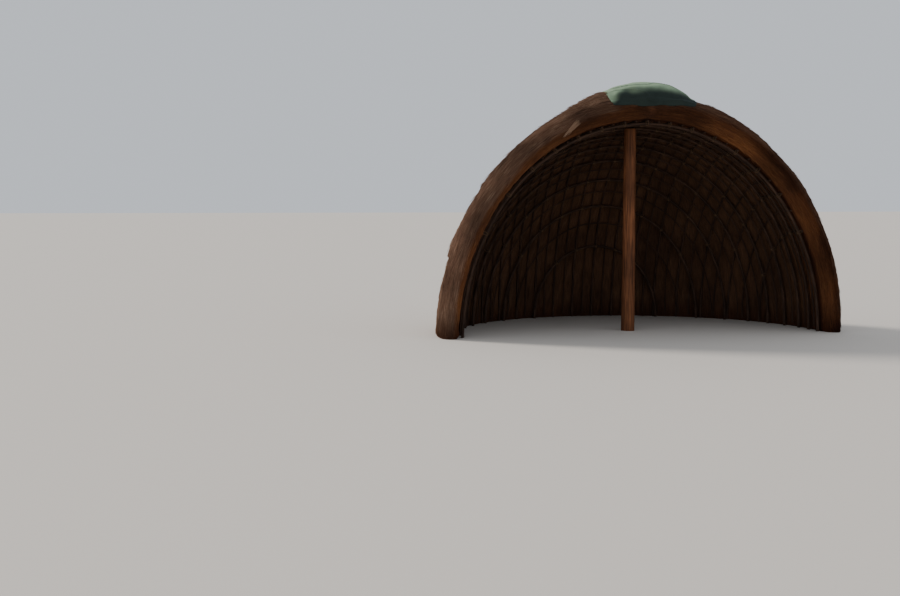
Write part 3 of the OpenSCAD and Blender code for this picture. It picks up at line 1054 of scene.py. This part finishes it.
class HUT_OT_laths(bpy.types.Operator):
    """Weaves the finer laths between the saplings: one set lies with the hoops, the other with the ribs"""
    bl_idname = "hut.laths"
    bl_label = "Laths"

    def execute(self, context):
        rng = np.random.default_rng(31)
        w, _ = inner_size()
        grids = []
        t = np.linspace(LATH_START, math.pi - LATH_START, LATH_STEPS)
        for y in between(hoop_places(), -sizes().hoop_reach, w * 0.97):
            p = hoop_face(y, t) + vec(0, LATH_WANDER * noise(t * 3, y * 9, 1.0), 0)
            grids.append(lath_rings(p, 1, rng))
        t = np.linspace(LATH_START, QUARTER, SHORT_LATH_STEPS)
        for x in between(rib_places(), -w * 0.95, w * 0.95):
            p = rib_face(x, t) + vec(LATH_WANDER * noise(t * 4, x * 9, 4.0), 0, 0)
            grids.append(lath_rings(p, -1, rng))
        finish_piece(joined("laths", grids), "bark")
        return {"FINISHED"}


# The lashings

# Each is two turns of rope each way, which lie side by side.
ROPE_R = 0.0035
ROPE_STEPS = 12
ROPE_SHIFTS = (-1.2 * ROPE_R, 1.2 * ROPE_R)
# A turn of rope is a superellipse with this power, as wide as the hoop's radius times this share.
ROPE_POWER = 0.8
ROPE_WIDTH = 1.25
# Crossings further out than this share of the inner face's half width have no lashing.
LASHED_SHARE = 0.97


class HUT_OT_lashings(bpy.types.Operator):
    """Ties grass rope crosswise round each crossing of a hoop and a rib"""
    bl_idname = "hut.lashings"
    bl_label = "Lashings"

    def execute(self, context):
        w, _ = inner_size()
        turn = np.arange(ROPE_STEPS) * TAU / ROPE_STEPS
        high = signed_pow(np.sin(turn), ROPE_POWER)[:, None]
        wide = signed_pow(np.cos(turn), ROPE_POWER)[:, None]
        crossings = [(x, y) for y in hoop_places() for x in rib_places()
                     if x ** 2 + max(y, 0) ** 2 <= (LASHED_SHARE * w) ** 2]
        grids = []
        for x, y in crossings:
            t = math.acos(x / (w * math.sqrt(1 - (max(y, 0) / w) ** 2)))
            face = hoop_face(y, t)
            n = inner_normal(face)
            rib_r = rib_radius_at(face)
            hoop_r = sapling_r(sizes().hoop, t)
            middle = face - n * (rib_r + hoop_r + 2 * TIE_GAP)
            along_hoop = unit(hoop_path(y, t + 0.01) - hoop_path(y, t - 0.01))
            along_rib = unit(np.cross(n, along_hoop))
            for d in (unit(along_hoop + along_rib), unit(along_hoop - along_rib)):
                across = np.cross(d, n)
                for shift in ROPE_SHIFTS:
                    path = middle + d * shift + high * n * (rib_r + hoop_r + ROPE_R * 0.6)
                    path = path + wide * across * (hoop_r * ROPE_WIDTH)
                    loop = np.concatenate([path[-1:], path, path[:1]])
                    grids.append(tube(loop, ROPE_R, d, 3)[1:-1])
        finish_piece(joined("lashings", grids, closed=True), "rope")
        return {"FINISHED"}


# The front post

POST_RINGS = 90
POST_SIDES = 72
# Depth of the drying checks, and how far the post's face swells and sinks
CHECK_DEPTH = 0.004
POST_SWELL = 0.003


class HUT_OT_post(bpy.types.Operator):
    """Cuts the front post: a peeled log with swellings, drying checks and a groove for the hoop"""
    bl_idname = "hut.post"
    bl_label = "Front post"

    def execute(self, context):
        s = sizes()
        w, _ = inner_size()
        t = math.acos(s.post_side / math.sqrt(w ** 2 - s.post_back ** 2))
        a, seat, b = hoop_path(s.post_back, np.array([t + 0.02, t, t - 0.02]))
        slope = (b[2] - a[2]) / (b[0] - a[0])
        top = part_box("front_post")[1][2]
        z = np.linspace(0, top, POST_RINGS)
        zz, aa = np.meshgrid(z, np.arange(POST_SIDES) * TAU / POST_SIDES, indexing="ij")
        lumps = noise(np.cos(aa) * 1.3, np.sin(aa) * 1.3, zz / 0.5)
        checks = np.abs(noise(np.cos(aa) * 5, np.sin(aa) * 5, zz / 1.1 + 20))
        radius = (s.post + (s.post_top - s.post) * zz / top) / 2 + POST_SWELL * lumps - POST_SWELL
        radius = radius - CHECK_DEPTH * np.exp(-(checks / 0.07) ** 2)
        p = vec(seat[0] + radius * np.cos(aa), seat[1] + radius * np.sin(aa), zz)
        # The top closes with rings that shrink towards its middle.
        shares = np.array([0.93, 0.7, 0.45, 0.2])
        centre = np.array([seat[0], seat[1], top])
        p = np.concatenate([p, centre + (p[-1] - centre)[None] * shares[:, None, None]])
        # The groove is a cylinder's underside along the hoop's slope, cut out of the top.
        seat_r = sapling_r(s.hoop, QUARTER) + SEAT_GAP
        away = np.abs(p[..., 1] - seat[1])
        groove = top + slope * (p[..., 0] - seat[0]) - np.sqrt(np.maximum(seat_r ** 2 - away ** 2, 0))
        p[..., 2] = np.minimum(p[..., 2], np.where(away < seat_r, groove, top))
        length = np.concatenate([z, np.full(len(shares), top)])
        uv = vec(np.arange(POST_SIDES + 1) * 0.007, length[:, None])
        finish_piece(grid_mesh("peeled_front_post", p, uv), "log", ["front_post"])
        return {"FINISHED"}


# The straw pad and the cover on the crown

# The cover's hem hangs nearly level across the front of the roll.
HEM_Z = 2.652
# Rows and columns of the cover and the pad in the part's source
COVER_COLUMNS, ROLL_ROWS, DOME_ROWS = 12, 9, 8
PAD_START_ROW, PAD_OUT_COLUMNS = 3, 5
# How far the cover and the pad lie clear of the thatch
CLEAR = 0.002
PAD_STEPS = 80
PAD_STRAWS = 3400
PAD_FRONT, PAD_BACK = -0.66, 0.87
COVER_WIDE, COVER_LONG = 130, 150
HEM_WIDTH = 0.035
# Over this distance from its edges the cover comes free of the thatch, and this is how sharply it meets it.
FREE_WIDTH = 0.12
SOFTNESS = 0.004
SHEET_THICK = 0.0025


def cover_column(x):
    """The source's column at x: 0 at the cover's left edge and COVER_COLUMNS at its right one."""
    s = sizes()
    return COVER_COLUMNS * (x + s.cover_left) / (s.cover_left + s.cover_right)


def hem_turn(x):
    """The turn of the roll's section at which the cover's hem lies, so that it hangs level at HEM_Z. Beyond
    the cover's left edge, where only the pad lies, it stays as it is at that edge."""
    s = sizes()
    top = rim(np.arccos(np.maximum(x, -s.cover_left) / s.half_w), QUARTER)[..., 2]
    share = (top - HEM_Z + 0.01 * noise(x / 0.12, 2.0, 3.0)) / (s.crown + s.rim_proud)
    return np.arcsin(signed_pow(1 - 2 * np.clip(share, 0.1, 0.55), s.rim_square / 2))


def crown_point(x, row, lift, raised=0.0):
    """The thatch under the cover, then lift away from it and raised straight up. row is -1 at the hem in
    front of the roll, 0 at the roll's top and 1 at the back edge, which is rounded off beyond the cover's
    left edge."""
    s = sizes()
    t = np.arccos(x / s.half_w)
    turn = np.where(row < 0, QUARTER + (QUARTER - hem_turn(x)) * np.minimum(row, 0), QUARTER)
    on_roll = rim(t, turn, CLEAR + lift)
    beyond = np.minimum(cover_column(x), 0) / (PAD_OUT_COLUMNS + 1)
    y = np.maximum(row, 0) * s.cover_back * np.sqrt(1 - beyond ** 2)
    r = np.maximum(np.hypot(x, y), 1e-6)
    up = np.arccos(np.minimum(r / s.half_w, 1))
    step = s.step * (QUARTER - up) / (QUARTER - s.crown_start)
    drop = np.exp(-np.maximum(row, 0) / 0.06)
    base = section(up, step + CLEAR + lift + drop * (proud(t) - step))
    on_dome = vec(base[..., 0] * x / r, base[..., 0] * y / r + axis_y(), base[..., 1])
    p = np.where((row < 0)[..., None], on_roll, on_dome)
    p[..., 2] += raised
    return p


def cover_edges(row):
    """Reach of the cover's left and right edges, which wander, and are trimmed back towards the front."""
    s = sizes()
    left, right = [reach + 0.03 * noise(row / 0.4, seed, 0.0) + 0.01 * noise(row / 0.1, seed, 1.0)
                   for reach, seed in ((s.cover_left, 1.0), (s.cover_right, 5.0))]
    return left - 0.05 * smooth(-row, 0.1, 0.9) ** 2, right - 0.12 * smooth(-row, -0.4, 0.6)


def pad_height(x, row):
    """The pad's thickness: the root of half a sine over its length times half a sine over its width, which
    leans to the right because its share of the width is raised to a power. It comes down to nothing at the
    cover's right edge."""
    s = sizes()
    j = ROLL_ROWS + np.where(row < 0, ROLL_ROWS, DOME_ROWS) * row
    back = (j - PAD_START_ROW) / (ROLL_ROWS + DOME_ROWS - 1 - PAD_START_ROW)
    right = (cover_column(x) + PAD_OUT_COLUMNS) / (COVER_COLUMNS - 1 + PAD_OUT_COLUMNS)
    swell = np.sin(np.clip(back, 0, 1) * math.pi) * np.sin(np.clip(right, 0, 1) ** s.pad_lean * math.pi)
    return s.pad * np.sqrt(np.maximum(swell, 0)) * smooth(cover_edges(row)[1] - x, -0.05, 0.32)


def pad_top(x, row):
    """The pad's upper face: where it is in the open, it has swells of 8 mm and clumps of 5 mm."""
    lumps = 0.008 * noise(x / 0.3, row / 0.3, 12.0) + 0.005 * noise(x / 0.25, row / 0.06, 15.0)
    height = pad_height(x, row)
    open_air = smooth(-cover_column(x), -1.0, 0.0) * smooth(height, 0.0, 0.05)
    return crown_point(x, row, 0.001, np.maximum(height - 0.004 + lumps * open_air, 0.001))


class HUT_OT_pad(bpy.types.Operator):
    """Heaps the straw pad on the crown, with loose stems where it comes out from under the cover"""
    bl_idname = "hut.pad"
    bl_label = "Straw pad"

    def execute(self, context):
        s = sizes()
        pitch = (s.cover_left + s.cover_right) / COVER_COLUMNS
        left = -s.cover_left - PAD_OUT_COLUMNS * pitch
        x = np.linspace(s.cover_right - pitch, left, PAD_STEPS)[:, None]
        row = np.linspace(PAD_FRONT, PAD_BACK, PAD_STEPS)[None]
        x, row = np.broadcast_arrays(x, row)
        p = np.concatenate([pad_top(x, row), crown_point(x, row, 0.0)[:, ::-1]], axis=1)
        around = np.concatenate([np.linspace(0, 1.2, PAD_STEPS), np.linspace(2, 3.2, PAD_STEPS + 1)])
        finish_piece(grid_mesh("crown_straw_pad", p, vec(around, x[:, :1])), "dome_packed", ["crown_pad"])
        rng = np.random.default_rng(25)
        xs = rng.uniform(left + 0.02, 0.05 - s.cover_left, PAD_STRAWS)
        rows = rng.uniform(PAD_FRONT + 0.01, PAD_BACK, PAD_STRAWS)
        q, across, _, normal = surface_frame(pad_top, xs, rows)
        lay_straws("pad_straws", "pad", q, -across, normal * np.sign(normal[:, 2:]), rng)
        return {"FINISHED"}


def cover_folds(x, row, edge):
    """How far the cover stands off: swells 0.4 m wide, wrinkles 0.15 m wide, thin creases where a third
    noise crosses 0, folds that deepen down the front, and a hem of double cloth within HEM_WIDTH of the
    edges. The edges lie close to the thatch, and nothing goes into it: v becomes
    (v + sqrt(v^2 + SOFTNESS^2)) / 2."""
    front = smooth(-row, 0.1, 0.9)
    swing = x + 0.05 * noise(row / 0.5, x / 0.6, 4.0)
    swells = 0.009 * noise(swing / 0.35, row / 0.3, 2.0)
    wrinkles = (0.005 + 0.005 * smooth(row, -0.1, 0.3)) * noise(swing / 0.11 + row * 3, row / 0.3, 6.0)
    creases = 0.009 * np.exp(-(noise(swing / 0.3 - row, row / 0.25 + x * 2, 11.0) / 0.09) ** 2)
    hanging = front * 0.011 * (1 + noise(swing / 0.09, row / 1.5, 8.0))
    hem = 0.0025 * smooth(-edge, -HEM_WIDTH - 0.006, -HEM_WIDTH + 0.006)
    free = smooth(edge, 0.0, FREE_WIDTH)
    loose = 0.009 * free - 0.003 + (swells + wrinkles + creases + hanging) * (0.3 + 0.7 * free)
    return (loose + np.sqrt(loose ** 2 + SOFTNESS ** 2)) / 2 + hem


class HUT_OT_cover(bpy.types.Operator):
    """Drapes the sheet over the straw pad on the crown, with folds, a loose hem and painted shade down its
    front
    """
    bl_idname = "hut.cover"
    bl_label = "Crown cover"

    def execute(self, context):
        s = sizes()
        u = np.linspace(1, 0, COVER_WIDE)[:, None]
        row = np.linspace(-1, 1, COVER_LONG)[None]
        u, row = np.broadcast_arrays(u, row)
        left, right = cover_edges(row)
        x = (left + right) * u - left
        bow = 0.03 * noise(x / 0.3, 9.0, 0.0) - 0.05 * (x / s.cover_right) ** 2
        wavy = row + bow * smooth(row, 0.4, 1.0)
        to_sides = np.minimum(u, 1 - u) * (left + right)
        edge = np.minimum(to_sides, np.minimum(0.4 * (row + 1), s.cover_back * (1 - row)))
        p = crown_point(x, wavy, 0.003, pad_height(x, wavy) + 0.004 * smooth(edge, 0.0, FREE_WIDTH))
        normal = unit(np.cross(np.gradient(p, axis=0), np.gradient(p, axis=1)))
        normal = normal * np.sign(normal[..., 2:].mean())
        p = p + normal * cover_folds(x, wavy, edge)[..., None]
        across = np.linalg.norm(np.diff(p, axis=0), axis=-1).sum(0).mean()
        along = np.linalg.norm(np.diff(p, axis=1), axis=-1).sum(1).mean()
        mesh = grid_mesh("draped_crown_cover", p, vec(u * across, (row + 1) / 2 * along), ring=False)
        # Painted shade: the front that hangs over the roll takes the dark colour, and the top and the left
        # corner take the pale one.
        past_shade_line = row + 0.45 + 0.35 * smooth(-x, 0.27, 0.5) + 0.09 * noise(x / 0.2, row / 0.2, 1.0)
        add_values(mesh, faded=smooth(past_shade_line, -0.15, 0.13))
        piece = finish_piece(mesh, "sheet", ["crown_cover"])
        solid = piece.modifiers.new("thickness", "SOLIDIFY")
        solid.thickness = SHEET_THICK
        solid.offset = 0.0
        return {"FINISHED"}


# The stage

FLOOR_HALF = 120.0
# The light of the sky and of the key, which comes from the left behind the hut
SKY = (0.88, 0.93, 1.0, 1.0)
KEY_COLOUR = (1.0, 0.95, 0.88)
KEY_FROM = (-0.648, 0.529, 0.545)
KEY_WIDTH = math.radians(14)
CAMERA = {"at": (-4.524, -14.9585, 1.6), "towards": (0.1583, 0.9874), "dip": 4.67, "lens": 48.96}
SENSOR_WIDTH = 36.0
FURTHEST_SEEN = 500.0


def turn_to(made, direction, axis):
    """Turns an object so that this axis of it lies along the direction."""
    made.rotation_mode = "QUATERNION"
    made.rotation_quaternion = Vector(direction).to_track_quat(axis, "Y")


class HUT_OT_stage(bpy.types.Operator):
    """Sets the plain floor, the soft lights and the camera"""
    bl_idname = "hut.stage"
    bl_label = "Stage"

    def execute(self, context):
        scene = context.scene
        corners = [(x * FLOOR_HALF, y * FLOOR_HALF, 0) for x, y in ((-1, -1), (1, -1), (1, 1), (-1, 1))]
        mesh = new_mesh("floor", corners, [(0, 1, 2, 3)])
        floor = new_object("floor", mesh)
        mesh.materials.append(coat("plain_pale_floor", 0.9, lambda tree: (colour("floor"), None)))
        world = bpy.data.worlds.new("surroundings")
        world.use_nodes = True
        background = world.node_tree.nodes["Background"]
        feed(world.node_tree, background, {"Color": SKY, "Strength": scene.hut_look.fill})
        scene.world = world
        key = bpy.data.lights.new("key", "SUN")
        key.energy = scene.hut_look.key
        key.angle = KEY_WIDTH
        key.color = KEY_COLOUR
        turn_to(new_object("key", key), KEY_FROM, "Z")
        lens = bpy.data.cameras.new("camera")
        lens.lens = CAMERA["lens"]
        lens.sensor_width = SENSOR_WIDTH
        lens.clip_end = FURTHEST_SEEN
        camera = new_object("camera", lens)
        camera.location = CAMERA["at"]
        dip = math.radians(CAMERA["dip"])
        fx, fy = CAMERA["towards"]
        turn_to(camera, (fx * math.cos(dip), fy * math.cos(dip), -math.sin(dip)), "-Z")
        scene.camera = camera
        return {"FINISHED"}


# The add-on

class HUT_PT_panel(bpy.types.Panel):
    """Lists the hut's pieces"""
    bl_label = "Hut"
    bl_idname = "HUT_PT_panel"
    bl_space_type = "VIEW_3D"
    bl_region_type = "UI"
    bl_category = "Hut"

    def draw(self, context):
        for operator in OPERATORS:
            self.layout.operator(operator.bl_idname)


OPERATORS = (HUT_OT_thatch, HUT_OT_rim, HUT_OT_dome_straws, HUT_OT_butts, HUT_OT_rim_straws, HUT_OT_hank,
             HUT_OT_inner_straws, HUT_OT_saplings, HUT_OT_laths, HUT_OT_lashings, HUT_OT_post, HUT_OT_pad,
             HUT_OT_cover, HUT_OT_stage)
GROUPS = {"hut_sizes": HutSizes, "hut_colours": HutColours, "hut_look": HutLook}
CLASSES = tuple(GROUPS.values()) + OPERATORS + (HUT_PT_panel,)


def register():
    """Registers the classes and gives the scene their settings."""
    for cls in CLASSES:
        bpy.utils.register_class(cls)
    for name, cls in GROUPS.items():
        setattr(bpy.types.Scene, name, PointerProperty(type=cls))


def unregister():
    """Takes away what register gave, in the opposite order."""
    for name in GROUPS:
        delattr(bpy.types.Scene, name)
    for cls in reversed(CLASSES):
        bpy.utils.unregister_class(cls)


def main():
    register()
    for operator in OPERATORS:
        group, name = operator.bl_idname.split(".")
        getattr(getattr(bpy.ops, group), name)()


if __name__ == "__main__":
    main()
